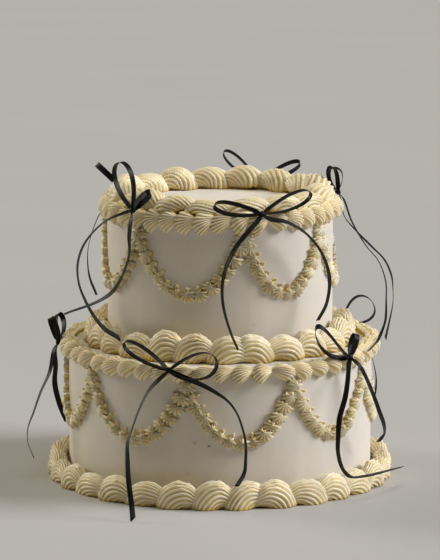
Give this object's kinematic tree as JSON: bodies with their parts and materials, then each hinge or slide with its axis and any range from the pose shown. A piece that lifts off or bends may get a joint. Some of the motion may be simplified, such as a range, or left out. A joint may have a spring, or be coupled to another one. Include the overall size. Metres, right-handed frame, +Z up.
{
  "type": "celebration cake",
  "caption": "Round two-tier celebration cake with smooth buttercream walls, piped shell borders, swagged garlands and tied satin ribbon bows, standing on its flat base.",
  "frame": {"origin": "middle of the lower tier's underside, on the surface that the cake stands on", "axes": "+Z up along the tiers' common axis; the cake's front faces -Y, so +X is to the right of a viewer in front"},
  "size_m": [0.2627, 0.2783, 0.2266],
  "materials": {
    "buttercream": "satin",
    "piped_buttercream": "satin",
    "satin_ribbon": "satin"
  },
  "bodies": {
    "root": {"lower_tier": "buttercream", "upper_tier": "buttercream", "base_border": "piped_buttercream", "upper_foot_border": "piped_buttercream", "top_border": "piped_buttercream", "lower_rim_border": "piped_buttercream", "upper_rim_border": "piped_buttercream", "lower_garland": "piped_buttercream", "upper_garland": "piped_buttercream", "upper_bow_front": "satin_ribbon", "upper_bow_left": "satin_ribbon", "upper_bow_right": "satin_ribbon", "upper_bow_back": "satin_ribbon", "upper_bow_back_left": "satin_ribbon", "lower_bow_front": "satin_ribbon", "lower_bow_right": "satin_ribbon", "lower_bow_left": "satin_ribbon", "lower_bow_back_right": "satin_ribbon", "lower_bow_back_left": "satin_ribbon"}
  },
  "joints": []
}
